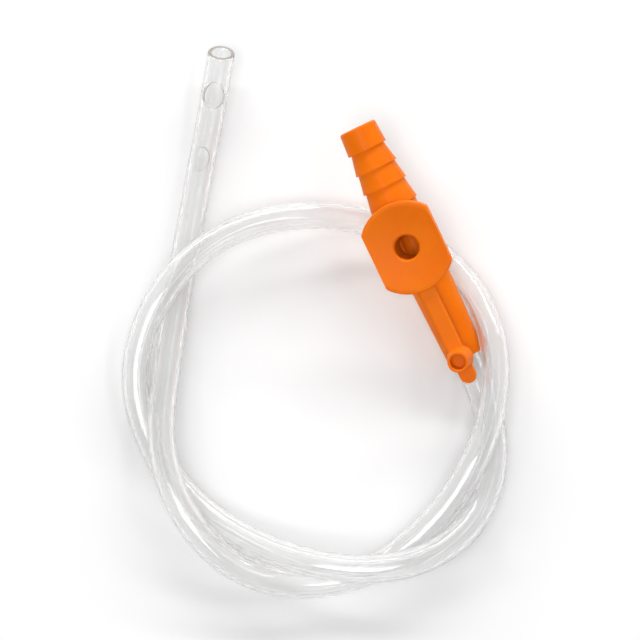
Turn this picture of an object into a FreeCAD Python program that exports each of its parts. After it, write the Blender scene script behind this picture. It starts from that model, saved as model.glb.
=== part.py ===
import FreeCAD
import Part

import math
import os

from FreeCAD import Placement, Rotation, Vector

# A suction catheter: a clear soft tube in one loose ring and a half, bonded in an orange
# moulded connector with a thumb port and a plug on a strap. Millimetres, +Z up. The origin
# is on the surface that the catheter lies on, under the middle of its outline.

# The tube
tube_outer_diameter = 5.33
tube_wall = 0.815
tube_inner_diameter = tube_outer_diameter - 2 * tube_wall
tip_slant_deg = 32.0
tip_outer_rounding = 0.55 * tube_wall
tip_inner_rounding = 0.25 * tube_wall
near_eye_from_tip = 10.5
near_eye_length = 5.2
near_eye_width = 3.6
near_eye_turn_deg = 3.0
far_eye_from_tip = 22.8
far_eye_length = 5.0
far_eye_width = 3.2
far_eye_turn_deg = 192.0

# How much of the shorter run a bend takes on each side of its corner
bend_share = 0.45

# Two directions this near to each other count as the same
aligned_within_deg = 0.08

# Corners of the tube's route, from its end in the connector to the free tip. The first run
# lies along the connector's axis. Where the tube crosses over itself or the connector sits
# on it, two corners share the height, one on each side of the crossing.
tube_route = [
    Vector(24.2, 2.1, 6.45),
    Vector(30.8, -11.1, 2.7),
    Vector(35.1, -24.8, 2.7),
    Vector(31.5, -38.7, 6.4),
    Vector(21.4, -47.4, 8.9),
    Vector(7.4, -49.5, 9.0),
    Vector(-7.7, -45.9, 6.7),
    Vector(-21.6, -37.9, 2.9),
    Vector(-31.5, -26.1, 2.7),
    Vector(-35.4, -11.6, 5.4),
    Vector(-30.7, 3.0, 8.8),
    Vector(-20.4, 14.3, 8.9),
    Vector(-6.6, 19.9, 6.0),
    Vector(7.4, 20.2, 3.2),
    Vector(20.7, 15.7, 2.7),
    Vector(30.9, 6.0, 3.6),
    Vector(34.8, -6.8, 8.2),
    Vector(33.7, -19.8, 9.0),
    Vector(28.8, -31.6, 8.1),
    Vector(20.8, -41.6, 4.4),
    Vector(9.9, -49.6, 2.8),
    Vector(-3.3, -52.0, 2.7),
    Vector(-15.9, -48.6, 5.5),
    Vector(-25.5, -38.3, 8.9),
    Vector(-29.7, -25.1, 9.0),
    Vector(-28.5, -10.5, 5.9),
    Vector(-26.8, 4.2, 2.7),
    Vector(-24.5, 18.2, 2.7),
    Vector(-22.2, 31.7, 3.1),
    Vector(-20.1, 42.9, 4.6),
    Vector(-18.2, 54.1, 6.9),
]

# The connector, along its own axis from the face where the tube comes out
connector_length = 48.5
outlet_diameter = 7.5
body_diameter = 8.8
socket_depth = 11.0
bond_gap = 0.1
connector_roll_deg = 18.5

# The rings of the spigot, from its tip: length, diameter at the front, diameter at the back
spigot_rings = [
    (4.6, 7.35, 7.9),
    (4.0, 6.8, 8.5),
    (3.8, 7.6, 9.0),
    (4.2, 8.1, 9.5),
]
spigot_bore_diameter = 5.0
spigot_bore_depth = 13.0
spigot_bore_taper = 1.2
spigot_mouth_chamfer = 0.3

# The thumb pad and its port
pad_centre_from_outlet = 24.1
pad_radius = 8.9
pad_across_flats = 13.8
pad_thickness = 2.2
pad_top_height = 8.0
pad_corner_rounding = 1.0
pad_edge_rounding = 0.35
dish_radius = 8.1
dish_depth = 0.8
chimney_foot_radius = 3.7
chimney_head_radius = 5.2
port_diameter = 4.75
port_mouth_chamfer = 0.25

# The strap, the plug at its end and the grip tab
strap_width = 3.0
strap_thickness = 1.3
strap_below_pad_top = 0.6
strap_rounding = 0.3
strap_into_pad = 0.95
plug_centre_from_outlet = 0.7
plug_foot_diameter = 5.0
plug_rim_diameter = 4.0
plug_stand = 3.2
plug_bore_diameter = 2.95
plug_bore_depth = 2.6
plug_rim_rounding = 0.2
tab_reach = 5.05
tab_width = 3.2
tab_thickness = 1.1
tab_rounding = 0.25


def unit(vector):
    return vector / vector.Length


def bend_at(before, corner, after):
    """The radius of a bend and its start, middle and end, tangent to both of its runs."""
    back = before - corner
    ahead = after - corner
    cut = bend_share * min(back.Length, ahead.Length)
    back = unit(back)
    ahead = unit(ahead)
    half_turn = (math.pi - back.getAngle(ahead)) / 2
    radius = cut / math.tan(half_turn)
    inward = unit(back + ahead)
    middle = corner + inward * (radius / math.cos(half_turn) - radius)
    return radius, corner + back * cut, middle, corner + ahead * cut


def route_wire(corners):
    """Straight runs joined by tangent arcs, and the radii of the arcs."""
    edges = []
    radii = []
    reached = corners[0]
    for before, corner, after in zip(corners, corners[1:], corners[2:]):
        radius, start, middle, end = bend_at(before, corner, after)
        edges.append(Part.LineSegment(reached, start).toShape())
        edges.append(Part.Arc(start, middle, end).toShape())
        radii.append(radius)
        reached = end
    edges.append(Part.LineSegment(reached, corners[-1]).toShape())
    return Part.Wire(edges), radii


def swept_round(wire, start, direction, diameter):
    """A solid round bar along a wire."""
    section = Part.Wire(Part.makeCircle(diameter / 2, start, direction))
    return wire.makePipeShell([section], True, False)


def place_from_tip(distance):
    """The point of the route that lies this far back from the tip, and its direction."""
    ahead = tube_route[-1]
    for corner in reversed(tube_route[:-1]):
        run = ahead - corner
        if distance <= run.Length:
            direction = unit(run)
            return ahead - direction * distance, direction
        distance -= run.Length
        ahead = corner
    raise ValueError("an eye lies beyond the tube's other end")


def upper_side(along):
    """The direction square to the tube that points most nearly up."""
    return unit(Vector(0, 0, 1) - along * along.z)


def eye_cutter(from_tip, length, width, turn_deg):
    """An oval punch through one wall, turned about the tube from its upper side."""
    centre, along = place_from_tip(from_tip)
    outward = Rotation(along, turn_deg).multVec(upper_side(along))
    oval = Part.Ellipse(Vector(), max(length, width) / 2, min(length, width) / 2)
    punch = Part.Face(Part.Wire(oval.toShape())).extrude(Vector(0, 0, tube_outer_diameter))
    long_axis = along if length >= width else outward.cross(along)
    punch.Placement = Placement(centre, Rotation(long_axis, Vector(), outward, "ZXY"))
    return punch


def tip_plane():
    """A point and the outward normal of the slanted end, which faces partly upward."""
    tip, along = place_from_tip(0)
    slant = math.radians(tip_slant_deg)
    set_back = tube_outer_diameter / 2 * math.tan(slant)
    return tip - along * set_back, along * math.cos(slant) + upper_side(along) * math.sin(slant)


def beyond_tip():
    """A block on the outer side of the slanted end, larger than the tube's section."""
    point, normal = tip_plane()
    side = 4 * tube_outer_diameter
    block = Part.makeBox(side, side, side, Vector(-side / 2, -side / 2, 0))
    block.Placement = Placement(point, Rotation(Vector(0, 0, 1), normal))
    return block


def lip_edges(tube, inner):
    """The edges of the slanted end face, on the lumen's side or on the outside."""
    point, normal = tip_plane()
    aligned = math.cos(math.radians(aligned_within_deg))
    end_faces = [
        face
        for face in tube.Faces
        if face.Surface.TypeId == "Part::GeomPlane"
        and (face.CenterOfMass - point).Length < tube_outer_diameter
        and abs(face.Surface.Axis.dot(normal)) > aligned
    ]
    outlines = sorted(end_faces[0].Wires, key=lambda wire: wire.Length)
    return outlines[0].Edges if inner else outlines[-1].Edges


def catheter_tube():
    """The whole tube with its lumen, slanted rounded tip and two side eyes."""
    wire, radii = route_wire(tube_route)
    start = tube_route[0]
    direction = unit(tube_route[1] - start)
    outer = swept_round(wire, start, direction, tube_outer_diameter)
    lumen = swept_round(wire, start, direction, tube_inner_diameter)
    tube = outer.cut(lumen)
    section = math.pi / 4 * (tube_outer_diameter**2 - tube_inner_diameter**2)
    print("bend radii", [round(radius, 1) for radius in radii])
    print("tube length %.1f" % wire.Length)
    print("volume over section times length %.5f" % (tube.Volume / (section * wire.Length)))
    tube = tube.cut(beyond_tip())
    tube = tube.makeFillet(tip_outer_rounding, lip_edges(tube, inner=False))
    tube = tube.makeFillet(tip_inner_rounding, lip_edges(tube, inner=True))
    near_eye = eye_cutter(near_eye_from_tip, near_eye_length, near_eye_width, near_eye_turn_deg)
    far_eye = eye_cutter(far_eye_from_tip, far_eye_length, far_eye_width, far_eye_turn_deg)
    return tube.cut([near_eye, far_eye])


def turned_outline(points):
    """A solid turned about the X axis from points given as distance along X and radius."""
    first_x = points[0][0]
    last_x = points[-1][0]
    outline = [Vector(first_x, 0, 0)]
    outline += [Vector(x, 0, radius) for x, radius in points]
    outline += [Vector(last_x, 0, 0), Vector(first_x, 0, 0)]
    face = Part.Face(Part.makePolygon(outline))
    return face.revolve(Vector(), Vector(1, 0, 0), 360)


def body_and_spigot():
    """The turned outside: the body, which widens up to the pad, and the rings of the spigot."""
    rings_start = connector_length - sum(length for length, front, back in spigot_rings)
    points = [
        (0, outlet_diameter / 2),
        (pad_centre_from_outlet, body_diameter / 2),
        (rings_start, body_diameter / 2),
    ]
    reached = rings_start
    for length, front, back in reversed(spigot_rings):
        points.append((reached, back / 2))
        reached += length
        points.append((reached, front / 2))
    tip_x, tip_radius = points.pop()
    points.append((tip_x - spigot_mouth_chamfer, tip_radius))
    points.append((tip_x, tip_radius - spigot_mouth_chamfer))
    return turned_outline(points)


def bores_along_axis():
    """The tube's socket, the lumen behind it and the wider bore of the spigot."""
    socket_radius = tube_outer_diameter / 2 + bond_gap
    bore_start = connector_length - spigot_bore_depth
    points = [
        (0, socket_radius),
        (socket_depth, socket_radius),
        (socket_depth, tube_inner_diameter / 2),
        (bore_start - spigot_bore_taper, tube_inner_diameter / 2),
        (bore_start, spigot_bore_diameter / 2),
        (connector_length, spigot_bore_diameter / 2),
    ]
    return turned_outline(points)


def thumb_pad():
    """The dished pad with its two flats, on a flared chimney that rises from the body."""
    centre = Vector(pad_centre_from_outlet, 0, 0)
    underside = Vector(0, 0, pad_top_height - pad_thickness)
    disc = Part.makeCylinder(pad_radius, pad_thickness, centre + underside)
    between_flats = Part.makeBox(
        2 * pad_radius,
        pad_across_flats,
        pad_thickness,
        centre + underside + Vector(-pad_radius, -pad_across_flats / 2, 0),
    )
    pad = disc.common(between_flats)
    corners = [edge for edge in pad.Edges if edge.BoundBox.ZLength > pad_thickness / 2]
    pad = pad.makeFillet(pad_corner_rounding, corners)
    rims = [edge for edge in pad.Edges if edge.BoundBox.ZLength < pad_thickness / 2]
    pad = pad.makeFillet(pad_edge_rounding, rims)
    ball_radius = (dish_radius**2 + dish_depth**2) / (2 * dish_depth)
    ball_height = pad_top_height - dish_depth + ball_radius
    pad = pad.cut(Part.makeSphere(ball_radius, centre + Vector(0, 0, ball_height)))
    chimney = Part.makeCone(
        chimney_foot_radius,
        chimney_head_radius,
        pad_top_height - pad_thickness + pad_edge_rounding,
        centre,
    )
    return pad.fuse(chimney)


def thumb_port():
    """The round port from the pad down to the lumen, with a chamfered mouth."""
    centre = Vector(pad_centre_from_outlet, 0, 0)
    mouth_height = pad_top_height - dish_depth
    port = Part.makeCylinder(port_diameter / 2, pad_top_height, centre)
    # The cone goes on above the dish by as much again, so that it opens the whole mouth
    rise = 2 * port_mouth_chamfer
    flare = Part.makeCone(
        port_diameter / 2,
        port_diameter / 2 + rise,
        rise,
        centre + Vector(0, 0, mouth_height - port_mouth_chamfer),
    )
    return port.fuse(flare)


def rounded_bar(start_x, end_x, width, bottom, thickness, rounding, round_end):
    """A flat bar along X with rounded long edges, and a half-round end where asked."""
    left = min(start_x, end_x)
    length = abs(end_x - start_x)
    bar = Part.makeBox(length, width, thickness, Vector(left, -width / 2, bottom))
    if round_end:
        end = Part.makeCylinder(width / 2, thickness, Vector(end_x, 0, bottom))
        bar = bar.fuse(end).removeSplitter()
    # Upright edges and the straight ones across the bar's ends stay sharp
    long_edges = [
        edge
        for edge in bar.Edges
        if edge.BoundBox.ZLength < thickness / 2 and edge.BoundBox.XLength > width / 4
    ]
    return bar.makeFillet(rounding, long_edges)


def strap_with_plug():
    """The strap from the pad's edge, the hollow plug that stands on it and the grip tab."""
    strap_top = pad_top_height - strap_below_pad_top
    strap_bottom = strap_top - strap_thickness
    pad_edge = pad_centre_from_outlet - pad_radius
    strap = rounded_bar(
        plug_centre_from_outlet,
        pad_edge + strap_into_pad,
        strap_width,
        strap_bottom,
        strap_thickness,
        strap_rounding,
        False,
    )
    tab = rounded_bar(
        plug_centre_from_outlet,
        plug_centre_from_outlet - tab_reach + tab_width / 2,
        tab_width,
        strap_bottom,
        tab_thickness,
        tab_rounding,
        True,
    )
    rim_height = strap_top + plug_stand
    foot = Vector(plug_centre_from_outlet, 0, strap_bottom)
    plug = Part.makeCone(
        plug_foot_diameter / 2, plug_rim_diameter / 2, rim_height - strap_bottom, foot
    )
    bore_bottom = Vector(plug_centre_from_outlet, 0, rim_height - plug_bore_depth)
    plug = plug.cut(Part.makeCylinder(plug_bore_diameter / 2, plug_bore_depth, bore_bottom))
    rim_edges = [edge for edge in plug.Edges if edge.BoundBox.ZMin > rim_height - plug_rim_rounding]
    plug = plug.makeFillet(plug_rim_rounding, rim_edges)
    return strap.fuse([tab, plug])


def connector_placement():
    """Where the connector sits: its axis on the tube's first run, rolled about it."""
    outward = unit(tube_route[1] - tube_route[0])
    outlet = tube_route[0] + outward * socket_depth
    sideways = unit(outward.cross(Vector(0, 0, 1)))
    upright = sideways.cross(outward)
    roll = math.radians(connector_roll_deg)
    pad_normal = upright * math.cos(roll) + sideways * math.sin(roll)
    return Placement(outlet, Rotation(outward * -1, Vector(), pad_normal, "XZY"))


def control_connector():
    """The one-piece moulding, in its place on the end of the tube."""
    solid = body_and_spigot().fuse([thumb_pad(), strap_with_plug()])
    solid = solid.cut([bores_along_axis(), thumb_port()])
    solid = solid.removeSplitter()
    placement = connector_placement()
    print("outlet", placement.Base, "towards the spigot", placement.Rotation.multVec(Vector(1, 0, 0)))
    print("pad normal", placement.Rotation.multVec(Vector(0, 0, 1)))
    solid.Placement = placement
    return solid


def one_solid(name, shape):
    """The single valid solid that a node must be."""
    solids = shape.Solids
    if len(solids) != 1 or not shape.isValid():
        raise ValueError("%s came out as %d solids, valid: %s" % (name, len(solids), shape.isValid()))
    return solids[0]


os.makedirs("parts", exist_ok=True)
nodes = {"control_connector": control_connector(), "catheter_tube": catheter_tube()}
for name, shape in nodes.items():
    solid = one_solid(name, shape)
    solid.exportStep("parts/" + name + ".step")
    box = solid.BoundBox
    print(name, "volume %.1f" % solid.Volume)
    print("  X %.2f to %.2f, Y %.2f to %.2f" % (box.XMin, box.XMax, box.YMin, box.YMax))
    print("  Z %.2f to %.2f" % (box.ZMin, box.ZMax))
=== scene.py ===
import math

import bmesh
import bpy
from bpy.props import FloatProperty, FloatVectorProperty, IntProperty, PointerProperty
from mathutils import Matrix, Vector


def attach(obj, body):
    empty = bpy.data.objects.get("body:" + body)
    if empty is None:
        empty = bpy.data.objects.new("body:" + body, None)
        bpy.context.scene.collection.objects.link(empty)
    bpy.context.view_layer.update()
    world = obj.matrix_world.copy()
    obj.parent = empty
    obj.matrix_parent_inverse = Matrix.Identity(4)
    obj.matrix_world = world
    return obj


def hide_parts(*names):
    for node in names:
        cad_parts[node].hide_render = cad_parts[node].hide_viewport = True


bl_info = {
    "name": "Suction Catheter",
    "version": (1, 0, 0),
    "blender": (4, 5, 0),
    "location": "3D View > Sidebar > Catheter",
    "description": "A coiled suction catheter with its thumb-port connector, in a plain studio",
    "category": "Add Mesh",
}

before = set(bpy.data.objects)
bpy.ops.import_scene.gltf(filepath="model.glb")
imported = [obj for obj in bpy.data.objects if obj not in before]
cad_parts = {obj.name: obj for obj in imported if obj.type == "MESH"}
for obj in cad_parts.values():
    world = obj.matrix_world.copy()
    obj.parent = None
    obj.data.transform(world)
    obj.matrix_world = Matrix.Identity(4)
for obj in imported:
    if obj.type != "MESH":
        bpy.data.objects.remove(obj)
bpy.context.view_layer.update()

# Corners of the tube's route in metres, from the bottom of the connector's socket to the free
# tip. The first three lie on the connector's axis, so that the tube leaves its socket straight.
ROUTE = [
    (0.0242, 0.0021, 0.00645),
    (0.0268, -0.0031, 0.00497),
    (0.0308, -0.0111, 0.0027),
    (0.0351, -0.0248, 0.0027),
    (0.0315, -0.0387, 0.0064),
    (0.0214, -0.0474, 0.0089),
    (0.0074, -0.0495, 0.0090),
    (-0.0077, -0.0459, 0.0067),
    (-0.0216, -0.0379, 0.0029),
    (-0.0315, -0.0261, 0.0027),
    (-0.0354, -0.0116, 0.0054),
    (-0.0307, 0.0030, 0.0088),
    (-0.0204, 0.0143, 0.0089),
    (-0.0066, 0.0199, 0.0060),
    (0.0074, 0.0202, 0.0032),
    (0.0207, 0.0157, 0.0027),
    (0.0309, 0.0060, 0.0036),
    (0.0348, -0.0068, 0.0082),
    (0.0337, -0.0198, 0.0090),
    (0.0288, -0.0316, 0.0081),
    (0.0208, -0.0416, 0.0044),
    (0.0099, -0.0496, 0.0028),
    (-0.0033, -0.0520, 0.0027),
    (-0.0159, -0.0486, 0.0055),
    (-0.0255, -0.0383, 0.0089),
    (-0.0297, -0.0251, 0.0090),
    (-0.0285, -0.0105, 0.0059),
    (-0.0268, 0.0042, 0.0027),
    (-0.0245, 0.0182, 0.0027),
    (-0.0222, 0.0317, 0.0031),
    (-0.0201, 0.0429, 0.0046),
    (-0.0182, 0.0541, 0.0069),
]

# Rings of the tube for each corner of the route, and rings past the tip that its cut takes off.
ROUTE_STEPS = 16
STEPS_PAST_TIP = 3

# Sides of the oval punches for the eyes, and the turn past which an edge stays sharp.
PUNCH_SIDES = 64
SHARP_FROM = math.radians(35)

# Light that one skin of the tube lets on to the floor, by how far it turns away from the lamp.
SHADE_BY_TURN = (
    (0.1, (0.97, 0.97, 0.97)),
    (0.5, (0.28, 0.27, 0.27)),
)

# A strand's shadow grows between these two heights, from this share to the whole of it.
FAINT_SHADOW_HEIGHT = 0.003
FULL_SHADOW_HEIGHT = 0.006
FAINT_SHADOW_SHARE = 0.20

# Brightness of the room round the catheter, by the sine of the height above the horizon.
ROOM_BANDS = (
    (0.00, 0.60),
    (0.28, 0.58),
    (0.32, 1.05),
    (0.38, 1.05),
    (0.42, 0.55),
    (0.52, 0.55),
    (0.56, 1.30),
    (0.64, 1.30),
    (0.68, 0.60),
    (1.00, 0.65),
)


class CatheterTubeSettings(bpy.types.PropertyGroup):
    """Sizes, colours and finish of the clear tube."""

    outer_diameter: FloatProperty(
        name="Outer Diameter",
        description="Outside diameter of the tube",
        default=0.00533,
        unit="LENGTH",
    )
    wall: FloatProperty(
        name="Wall",
        description="Thickness of the tube's wall",
        default=0.000815,
        unit="LENGTH",
    )
    sides: IntProperty(
        name="Sides",
        description="Number of faces round the tube",
        default=56,
    )
    tip_slant: FloatProperty(
        name="Tip Slant",
        description="Angle of the open end from square",
        default=math.radians(32),
        subtype="ANGLE",
    )
    tip_rounding: FloatProperty(
        name="Tip Rounding",
        description="Radius on the lips of the open end",
        default=0.0003,
        unit="LENGTH",
    )
    near_eye_from_tip: FloatProperty(
        name="Near Eye Place",
        description="Distance of the first side eye from the tip",
        default=0.0105,
        unit="LENGTH",
    )
    near_eye_length: FloatProperty(
        name="Near Eye Length",
        description="Length of the first side eye along the tube",
        default=0.0052,
        unit="LENGTH",
    )
    near_eye_width: FloatProperty(
        name="Near Eye Width",
        description="Width of the first side eye across the tube",
        default=0.0036,
        unit="LENGTH",
    )
    near_eye_turn: FloatProperty(
        name="Near Eye Turn",
        description="Turn of the first side eye about the tube, from its upper side",
        default=math.radians(3),
        subtype="ANGLE",
    )
    far_eye_from_tip: FloatProperty(
        name="Far Eye Place",
        description="Distance of the second side eye from the tip",
        default=0.0228,
        unit="LENGTH",
    )
    far_eye_length: FloatProperty(
        name="Far Eye Length",
        description="Length of the second side eye along the tube",
        default=0.005,
        unit="LENGTH",
    )
    far_eye_width: FloatProperty(
        name="Far Eye Width",
        description="Width of the second side eye across the tube",
        default=0.0032,
        unit="LENGTH",
    )
    far_eye_turn: FloatProperty(
        name="Far Eye Turn",
        description="Turn of the second side eye about the tube, from its upper side",
        default=math.radians(192),
        subtype="ANGLE",
    )
    tint: FloatVectorProperty(
        name="Tint",
        description="Colour that light takes on in the clear plastic",
        default=(0.10, 0.18, 0.10),
        subtype="COLOR",
        min=0,
        max=1,
    )
    absorption: FloatProperty(
        name="Absorption",
        description="How much light a metre of the clear plastic takes",
        default=8.0,
    )
    clearness: FloatProperty(
        name="Clearness",
        description="Share of the light that goes through the plastic and is not scattered back",
        default=0.88,
        min=0,
        max=1,
    )
    milk_colour: FloatVectorProperty(
        name="Milk Colour",
        description="Colour of the faint haze in the plastic",
        default=(1.0, 1.0, 1.0),
        subtype="COLOR",
        min=0,
        max=1,
    )
    # Colour of the cut faces at the tip and the eyes. Their matt haze is the cut's own finish;
    # their browner, darker tone is painted shade on the rims.
    cut_colour_and_rim_shade: FloatVectorProperty(
        name="Cut Colour",
        description="Colour of the matt faces where the tip and the eyes were cut",
        default=(0.86, 0.78, 0.70),
        subtype="COLOR",
        min=0,
        max=1,
    )
    skin_roughness: FloatProperty(
        name="Skin Roughness",
        description="Roughness of the tube's skin, which its drawing lines halve and double",
        default=0.04,
        min=0,
        max=1,
    )
    cut_clearness: FloatProperty(
        name="Cut Clearness",
        description="Share of the light that goes through the cut faces",
        default=0.6,
        min=0,
        max=1,
    )
    cut_roughness: FloatProperty(
        name="Cut Roughness",
        description="Roughness of the cut faces",
        default=0.3,
        min=0,
        max=1,
    )
    line_spread: FloatVectorProperty(
        name="Line Spread",
        description="Faint lines on the skin: how many round it, and how many along a metre",
        default=(3.0, 3.0, 4.0),
        subtype="XYZ",
    )


class ConnectorSettings(bpy.types.PropertyGroup):
    """Colours of the orange moulding."""

    orange: FloatVectorProperty(
        name="Orange",
        description="Main colour of the moulding",
        default=(1.0, 0.21, 0.002),
        subtype="COLOR",
        min=0,
        max=1,
    )
    deep_orange: FloatVectorProperty(
        name="Deep Orange",
        description="Colour of the darker flow marks in the moulding",
        default=(0.97, 0.185, 0.002),
        subtype="COLOR",
        min=0,
        max=1,
    )
    glow: FloatVectorProperty(
        name="Glow",
        description="Colour that the moulding sheds on what lies round it",
        default=(0.80, 0.42, 0.30),
        subtype="COLOR",
        min=0,
        max=1,
    )


class StudioSettings(bpy.types.PropertyGroup):
    """The floor, the light and the camera."""

    floor_colour: FloatVectorProperty(
        name="Floor",
        description="Colour of the floor",
        default=(0.985, 0.98, 0.98),
        subtype="COLOR",
        min=0,
        max=1,
    )
    room_light: FloatProperty(
        name="Room Light",
        description="Strength of the even light that the room sheds",
        default=0.32,
    )
    room_shine: FloatProperty(
        name="Room Shine",
        description="Brightness of the room as the glossy tube shows it",
        default=0.80,
    )
    window_power: FloatProperty(
        name="Window Power",
        description="Power of the long low window behind the catheter, in watts",
        default=18.0,
    )
    front_power: FloatProperty(
        name="Front Power",
        description="Power of the square light panel in front, in watts",
        default=4.3,
    )
    right_power: FloatProperty(
        name="Right Power",
        description="Power of the strip light on the right, in watts",
        default=1.0,
    )
    left_power: FloatProperty(
        name="Left Power",
        description="Power of the strip light on the left, in watts",
        default=0.8,
    )
    camera_distance: FloatProperty(
        name="Camera Distance",
        description="Distance from the camera to the point that it looks at",
        default=0.42,
        unit="LENGTH",
    )
    camera_elevation: FloatProperty(
        name="Camera Elevation",
        description="Height of the camera above the horizon, as an angle",
        default=math.radians(79),
        subtype="ANGLE",
    )
    camera_lens: FloatProperty(
        name="Camera Lens",
        description="Focal length in millimetres, on a sensor 36 mm wide",
        default=121.2,
    )


def add_object(name, mesh, material):
    """A new object at the origin, in the scene, with one material."""
    piece = bpy.data.objects.new(name, mesh)
    mesh.materials.append(material)
    bpy.context.scene.collection.objects.link(piece)
    return piece


def new_material(name):
    """A material with node access, its Principled shader and its output node."""
    material = bpy.data.materials.new(name)
    material.use_nodes = True
    nodes = material.node_tree.nodes
    return material, nodes["Principled BSDF"], nodes["Material Output"]


def add_node(owner, kind, **values):
    """A node of this kind in a material or a world, with the inputs of these names set."""
    node = owner.node_tree.nodes.new(kind)
    for name, value in values.items():
        node.inputs[name.replace("_", " ")].default_value = value
    return node


def add_ramp(owner, stops):
    """A colour ramp with these stops, each a position and a colour."""
    node = add_node(owner, "ShaderNodeValToRGB")
    elements = node.color_ramp.elements
    for element, (position, colour) in zip(elements, (stops[0], stops[-1])):
        element.position = position
        element.color = (*colour, 1)
    for position, colour in stops[1:-1]:
        elements.new(position).color = (*colour, 1)
    return node


def route_line():
    """Points of the tube's centre line, read from one open NURBS spline on the route."""
    curve = bpy.data.curves.new("tube_route", "CURVE")
    curve.dimensions = "3D"
    spline = curve.splines.new("NURBS")
    spline.points.add(len(ROUTE) - 1)
    for point, corner in zip(spline.points, ROUTE):
        point.co = (*corner, 1)
    spline.order_u = 3
    spline.use_endpoint_u = True
    spline.resolution_u = ROUTE_STEPS
    curve.resolution_u = ROUTE_STEPS
    holder = bpy.data.objects.new("tube_route", curve)
    bpy.context.scene.collection.objects.link(holder)
    line = bpy.data.meshes.new_from_object(holder)
    points = [vertex.co.copy() for vertex in line.vertices]
    bpy.data.objects.remove(holder)
    bpy.data.curves.remove(curve)
    bpy.data.meshes.remove(line)
    return points


def stations(points):
    """A matrix at each point, with Z along the line and no twist from one to the next."""
    turned = []
    turn = None
    for i, point in enumerate(points):
        before = points[max(i - 1, 0)]
        after = points[min(i + 1, len(points) - 1)]
        along = (after - before).normalized()
        if turn is None:
            turn = along.to_track_quat("Z", "Y")
        else:
            turn = last.rotation_difference(along) @ turn
        last = along
        turned.append(Matrix.Translation(point) @ turn.to_matrix().to_4x4())
    return turned


def tip_frame(points):
    """The free tip, the direction out of it and the side of the tube that faces up."""
    along = (points[-1] - points[-2]).normalized()
    upward = Vector((0, 0, 1)) - along * along.z
    return points[-1], along, upward.normalized()


def draw_skins(shape, radii, sides, places):
    """Two open skins of the tube, the inner one inside out: circles drawn out along the route.

    Each point keeps its place on the skin: round the tube in X and Y, along it in Z.
    """
    skin = shape.verts.layers.float_vector.new("skin")
    ring = []
    for radius, handed in zip(radii, (1, -1)):
        matrix = places[0] @ Matrix.Diagonal((handed, 1, 1, 1))
        made = bmesh.ops.create_circle(shape, segments=sides, radius=radius, matrix=matrix)
        for vert in made["verts"]:
            vert[skin] = (places[0].inverted() @ vert.co) / radius
        ring += made["verts"]
    edges = list({edge for vert in ring for edge in vert.link_edges})
    travelled = 0.0
    for last, place in zip(places, places[1:]):
        grown = bmesh.ops.extrude_edge_only(shape, edges=edges)["geom"]
        ring = [item for item in grown if isinstance(item, bmesh.types.BMVert)]
        fresh = set(ring)
        edges = [
            item
            for item in grown
            if isinstance(item, bmesh.types.BMEdge) and fresh.issuperset(item.verts)
        ]
        bmesh.ops.transform(shape, matrix=place @ last.inverted(), verts=ring)
        travelled += (place.translation - last.translation).length
        for vert in ring:
            vert[skin] = (*vert[skin].xy, travelled)


def eye_cutter(name, points, from_tip, length, width, turn, reach, material):
    """An oval punch that stands out from the tube's middle through one side of its wall."""
    remaining = from_tip
    for ahead, behind in zip(reversed(points), reversed(points[:-1])):
        step = (ahead - behind).length
        if remaining <= step:
            break
        remaining -= step
    along = (ahead - behind).normalized()
    centre = ahead - along * remaining
    upward = (Vector((0, 0, 1)) - along * along.z).normalized()
    outward = Matrix.Rotation(turn, 3, along) @ upward
    place = Matrix((along.cross(outward), along, outward)).transposed().to_4x4()
    place.translation = centre + outward * reach / 2
    shape = bmesh.new()
    bmesh.ops.create_cone(
        shape, cap_ends=True, segments=PUNCH_SIDES, radius1=0.5, radius2=0.5, depth=reach
    )
    scale = Matrix.Diagonal((width, length, 1, 1))
    bmesh.ops.transform(shape, matrix=place @ scale, verts=shape.verts)
    mesh = bpy.data.meshes.new(name)
    shape.to_mesh(mesh)
    shape.free()
    return add_object(name, mesh, material)


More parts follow.
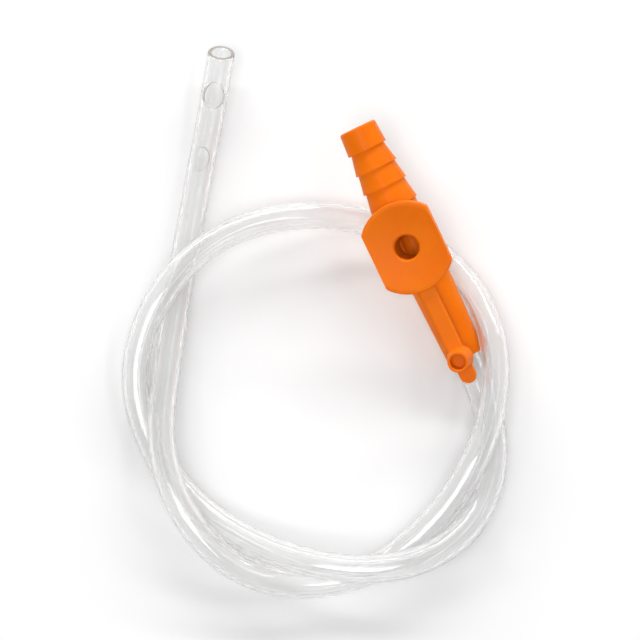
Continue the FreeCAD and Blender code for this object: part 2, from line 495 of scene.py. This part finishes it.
def clear_plastic(name, colour, clearness, roughness, settings):
    """Clear plastic with faint drawing lines along it. Lamps shine straight through it.

    A strand on the floor gathers its light right under itself, so its shadow is fainter than
    that of a raised one.
    """
    material, shader, output = new_material(name)
    links = material.node_tree.links
    shader.inputs["Base Color"].default_value = (*colour, 1)
    shader.inputs["Transmission Weight"].default_value = clearness
    shader.inputs["IOR"].default_value = 1.52

    place = add_node(material, "ShaderNodeAttribute")
    place.attribute_name = "skin"
    stretch = add_node(material, "ShaderNodeMapping", Scale=settings.line_spread)
    links.new(place.outputs["Vector"], stretch.inputs["Vector"])
    lines = add_node(material, "ShaderNodeTexNoise", Scale=1.0, Detail=1.0, Roughness=0.6)
    links.new(stretch.outputs["Vector"], lines.inputs["Vector"])
    haze = add_node(material, "ShaderNodeMapRange", To_Min=roughness / 2, To_Max=roughness * 2)
    links.new(lines.outputs["Fac"], haze.inputs["Value"])
    links.new(haze.outputs["Result"], shader.inputs["Roughness"])
    bump = add_node(material, "ShaderNodeBump", Strength=1.0, Distance=0.00003)
    links.new(lines.outputs["Fac"], bump.inputs["Height"])
    links.new(bump.outputs["Normal"], shader.inputs["Normal"])

    edge = add_node(material, "ShaderNodeLayerWeight", Blend=0.5)
    falloff = add_ramp(material, SHADE_BY_TURN)
    links.new(edge.outputs["Facing"], falloff.inputs["Fac"])
    where = add_node(material, "ShaderNodeTexCoord")
    parts = add_node(material, "ShaderNodeSeparateXYZ")
    links.new(where.outputs["Object"], parts.inputs["Vector"])
    raised = add_node(
        material,
        "ShaderNodeMapRange",
        From_Min=FAINT_SHADOW_HEIGHT,
        From_Max=FULL_SHADOW_HEIGHT,
        To_Min=FAINT_SHADOW_SHARE,
    )
    links.new(parts.outputs["Z"], raised.inputs["Value"])
    ray = add_node(material, "ShaderNodeLightPath")
    cast = add_node(material, "ShaderNodeMath")
    cast.operation = "MULTIPLY"
    links.new(ray.outputs["Is Shadow Ray"], cast.inputs[0])
    links.new(raised.outputs["Result"], cast.inputs[1])
    shade = add_node(material, "ShaderNodeMixRGB", Color1=(1, 1, 1, 1))
    links.new(cast.outputs["Value"], shade.inputs["Fac"])
    links.new(falloff.outputs["Color"], shade.inputs["Color2"])
    through = add_node(material, "ShaderNodeBsdfTransparent")
    links.new(shade.outputs["Color"], through.inputs["Color"])
    lit = add_node(material, "ShaderNodeMixShader")
    links.new(ray.outputs["Is Diffuse Ray"], lit.inputs["Fac"])
    links.new(shader.outputs["BSDF"], lit.inputs[1])
    links.new(through.outputs["BSDF"], lit.inputs[2])
    shaded = add_node(material, "ShaderNodeMixShader")
    links.new(ray.outputs["Is Shadow Ray"], shaded.inputs["Fac"])
    links.new(lit.outputs["Shader"], shaded.inputs[1])
    links.new(through.outputs["BSDF"], shaded.inputs[2])
    links.new(shaded.outputs["Shader"], output.inputs["Surface"])

    inside = add_node(material, "ShaderNodeVolumeAbsorption", Density=settings.absorption)
    inside.inputs["Color"].default_value = (*settings.tint, 1)
    links.new(inside.outputs["Volume"], output.inputs["Volume"])
    return material


def moulded_plastic(settings):
    """Satin orange moulding with flow marks and a fine spark texture.

    The glow that it sheds on the floor and the tube is paler than its own colour.
    """
    material, shader, _ = new_material("orange_moulding_satin")
    links = material.node_tree.links
    where = add_node(material, "ShaderNodeTexCoord")

    flow = add_node(material, "ShaderNodeTexNoise", Scale=180.0, Detail=3.0, Roughness=0.55)
    links.new(where.outputs["Object"], flow.inputs["Vector"])
    tones = add_ramp(material, ((0.35, settings.deep_orange), (0.65, settings.orange)))
    links.new(flow.outputs["Fac"], tones.inputs["Fac"])
    ray = add_node(material, "ShaderNodeLightPath")
    shed = add_node(material, "ShaderNodeMixRGB", Color2=(*settings.glow, 1))
    links.new(ray.outputs["Is Diffuse Ray"], shed.inputs["Fac"])
    links.new(tones.outputs["Color"], shed.inputs["Color1"])
    links.new(shed.outputs["Color"], shader.inputs["Base Color"])

    sheen = add_node(material, "ShaderNodeMapRange", To_Min=0.34, To_Max=0.48)
    links.new(flow.outputs["Fac"], sheen.inputs["Value"])
    links.new(sheen.outputs["Result"], shader.inputs["Roughness"])

    grain = add_node(material, "ShaderNodeTexNoise", Scale=5200.0, Detail=4.0)
    links.new(where.outputs["Object"], grain.inputs["Vector"])
    bump = add_node(material, "ShaderNodeBump", Strength=0.25, Distance=0.00002)
    links.new(grain.outputs["Fac"], bump.inputs["Height"])
    links.new(bump.outputs["Normal"], shader.inputs["Normal"])

    shader.inputs["Subsurface Weight"].default_value = 0.3
    shader.inputs["Subsurface Radius"].default_value = (1.0, 0.35, 0.05)
    shader.inputs["Subsurface Scale"].default_value = 0.0006
    shader.inputs["Specular IOR Level"].default_value = 0.1
    return material


class CATHETER_OT_tube(bpy.types.Operator):
    """Draw the clear tube along its route, with its open tip and two side eyes"""

    bl_idname = "catheter.tube"
    bl_label = "Clear Tube"

    def execute(self, context):
        settings = context.scene.catheter_tube
        radius = settings.outer_diameter / 2
        points = route_line()
        tip, along, upward = tip_frame(points)
        step = (points[-1] - points[-2]).length
        drawn = points[:-1] + [points[-1] + along * step * k for k in range(STEPS_PAST_TIP)]

        shape = bmesh.new()
        draw_skins(shape, (radius, radius - settings.wall), settings.sides, stations(drawn))

        normal = along * math.cos(settings.tip_slant) + upward * math.sin(settings.tip_slant)
        setback = radius * math.tan(settings.tip_slant)
        bmesh.ops.bisect_plane(
            shape,
            geom=shape.verts[:] + shape.edges[:] + shape.faces[:],
            plane_co=tip - along * setback,
            plane_no=normal,
            clear_outer=True,
            dist=1e-7,
        )
        open_edges = [edge for edge in shape.edges if edge.is_boundary]
        tip_edges = [edge for edge in open_edges if (edge.verts[0].co - tip).length < 4 * radius]
        socket_edges = [edge for edge in open_edges if edge not in set(tip_edges)]
        for edges in (tip_edges, socket_edges):
            for face in bmesh.ops.bridge_loops(shape, edges=edges)["faces"]:
                face.material_index = 1
        bmesh.ops.bevel(
            shape,
            geom=list(tip_edges),
            offset=settings.tip_rounding,
            segments=4,
            profile=0.5,
            affect="EDGES",
            material=-1,
        )
        bmesh.ops.recalc_face_normals(shape, faces=shape.faces)
        mesh = bpy.data.meshes.new("catheter_tube_clear")
        shape.to_mesh(mesh)
        shape.free()

        clear = clear_plastic(
            "clear_soft_plastic",
            settings.milk_colour,
            settings.clearness,
            settings.skin_roughness,
            settings,
        )
        # Material of the cut faces: its brownish colour is painted shade that darkens the rims
        # of the tip and the eyes.
        cut = clear_plastic(
            "cut_plastic_painted_rim_shade",
            settings.cut_colour_and_rim_shade,
            settings.cut_clearness,
            settings.cut_roughness,
            settings,
        )
        piece = add_object("catheter_tube_clear", mesh, clear)
        mesh.materials.append(cut)
        cutters = [
            eye_cutter(
                "near_eye",
                points,
                settings.near_eye_from_tip,
                settings.near_eye_length,
                settings.near_eye_width,
                settings.near_eye_turn,
                2 * radius,
                cut,
            ),
            eye_cutter(
                "far_eye",
                points,
                settings.far_eye_from_tip,
                settings.far_eye_length,
                settings.far_eye_width,
                settings.far_eye_turn,
                2 * radius,
                cut,
            ),
        ]
        for cutter in cutters:
            punch = piece.modifiers.new(cutter.name, "BOOLEAN")
            punch.operation = "DIFFERENCE"
            punch.solver = "EXACT"
            punch.material_mode = "TRANSFER"
            punch.object = cutter
        graph = context.evaluated_depsgraph_get()
        punched = bpy.data.meshes.new_from_object(piece.evaluated_get(graph))
        piece.modifiers.clear()
        piece.data = punched
        punched.name = "catheter_tube_clear"
        for cutter in cutters:
            bpy.data.objects.remove(cutter)
        for face in punched.polygons:
            face.use_smooth = True
        punched.set_sharp_from_angle(angle=SHARP_FROM)

        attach(piece, "root")
        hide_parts("catheter_tube")
        return {"FINISHED"}


class CATHETER_OT_connector(bpy.types.Operator):
    """Finish the orange connector as satin moulded plastic"""

    bl_idname = "catheter.connector"
    bl_label = "Orange Connector"

    def execute(self, context):
        material = moulded_plastic(context.scene.catheter_connector)
        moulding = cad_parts["control_connector"]
        for slot in moulding.material_slots:
            slot.material = material
        return {"FINISHED"}


class CATHETER_OT_studio(bpy.types.Operator):
    """Set up the pale floor, the soft light and the camera"""

    bl_idname = "catheter.studio"
    bl_label = "Studio"

    def execute(self, context):
        settings = context.scene.catheter_studio
        scene = context.scene

        shape = bmesh.new()
        bmesh.ops.create_grid(shape, x_segments=1, y_segments=1, size=3.0)
        mesh = bpy.data.meshes.new("floor")
        shape.to_mesh(mesh)
        shape.free()
        material, shader, _ = new_material("pale_floor")
        shader.inputs["Base Color"].default_value = (*settings.floor_colour, 1)
        shader.inputs["Roughness"].default_value = 0.9
        shader.inputs["Specular IOR Level"].default_value = 0.1
        floor = add_object("floor", mesh, material)

        world = bpy.data.worlds.new("soft_room")
        world.use_nodes = True
        links = world.node_tree.links
        background = world.node_tree.nodes["Background"]
        where = add_node(world, "ShaderNodeTexCoord")
        parts = add_node(world, "ShaderNodeSeparateXYZ")
        links.new(where.outputs["Generated"], parts.inputs["Vector"])
        rise = add_ramp(world, [(height, (level,) * 3) for height, level in ROOM_BANDS])
        links.new(parts.outputs["Z"], rise.inputs["Fac"])
        links.new(rise.outputs["Color"], background.inputs["Color"])
        ray = add_node(world, "ShaderNodeLightPath")
        shows = add_node(world, "ShaderNodeMath")
        links.new(ray.outputs["Is Glossy Ray"], shows.inputs[0])
        links.new(ray.outputs["Is Transmission Ray"], shows.inputs[1])
        strength = add_node(
            world,
            "ShaderNodeMapRange",
            To_Min=settings.room_light,
            To_Max=settings.room_shine,
        )
        links.new(shows.outputs["Value"], strength.inputs["Value"])
        links.new(strength.outputs["Result"], background.inputs["Strength"])
        scene.world = world

        for name, place, wide, high, power in (
            ("window", (0.06, 1.2, 0.75), 2.4, 0.14, settings.window_power),
            ("front_panel", (-0.12, -0.32, 1.0), 0.5, 0.5, settings.front_power),
            ("right_strip", (0.5, 0.0, 0.9), 1.2, 0.08, settings.right_power),
            ("left_strip", (-0.5, 0.0, 0.9), 1.2, 0.08, settings.left_power),
        ):
            lamp = bpy.data.lights.new(name, "AREA")
            lamp.shape = "RECTANGLE"
            lamp.size = wide
            lamp.size_y = high
            lamp.energy = power
            holder = bpy.data.objects.new(name, lamp)
            holder.location = place
            holder.rotation_euler = (-Vector(place)).to_track_quat("-Z", "Y").to_euler()
            scene.collection.objects.link(holder)

        target = Vector((0.0009, 0.0002, 0.0))
        tilt = settings.camera_elevation
        back = Vector((0, -math.cos(tilt), math.sin(tilt)))
        lens = bpy.data.cameras.new("camera")
        lens.sensor_width = 36
        lens.lens = settings.camera_lens
        lens.clip_start = 0.01
        lens.clip_end = 10
        camera = bpy.data.objects.new("camera", lens)
        camera.location = target + back * settings.camera_distance
        camera.rotation_euler = (math.pi / 2 - tilt, 0, 0)
        scene.collection.objects.link(camera)
        scene.camera = camera
        scene.view_settings.view_transform = "Standard"
        return {"FINISHED"}


class CATHETER_PT_panel(bpy.types.Panel):
    """The pieces of the catheter and their settings"""

    bl_label = "Suction Catheter"
    bl_idname = "CATHETER_PT_panel"
    bl_space_type = "VIEW_3D"
    bl_region_type = "UI"
    bl_category = "Catheter"

    def draw(self, context):
        for operator, settings in (
            (CATHETER_OT_tube, context.scene.catheter_tube),
            (CATHETER_OT_connector, context.scene.catheter_connector),
            (CATHETER_OT_studio, context.scene.catheter_studio),
        ):
            box = self.layout.box()
            box.operator(operator.bl_idname)
            for name in settings.bl_rna.properties.keys():
                if name not in ("rna_type", "name"):
                    box.prop(settings, name)


CLASSES = (
    CatheterTubeSettings,
    ConnectorSettings,
    StudioSettings,
    CATHETER_OT_tube,
    CATHETER_OT_connector,
    CATHETER_OT_studio,
    CATHETER_PT_panel,
)


def register():
    for entry in CLASSES:
        bpy.utils.register_class(entry)
    bpy.types.Scene.catheter_tube = PointerProperty(type=CatheterTubeSettings)
    bpy.types.Scene.catheter_connector = PointerProperty(type=ConnectorSettings)
    bpy.types.Scene.catheter_studio = PointerProperty(type=StudioSettings)


def unregister():
    del bpy.types.Scene.catheter_studio
    del bpy.types.Scene.catheter_connector
    del bpy.types.Scene.catheter_tube
    for entry in reversed(CLASSES):
        bpy.utils.unregister_class(entry)


def main():
    register()
    bpy.ops.catheter.tube()
    bpy.ops.catheter.connector()
    bpy.ops.catheter.studio()


if __name__ == "__main__":
    main()
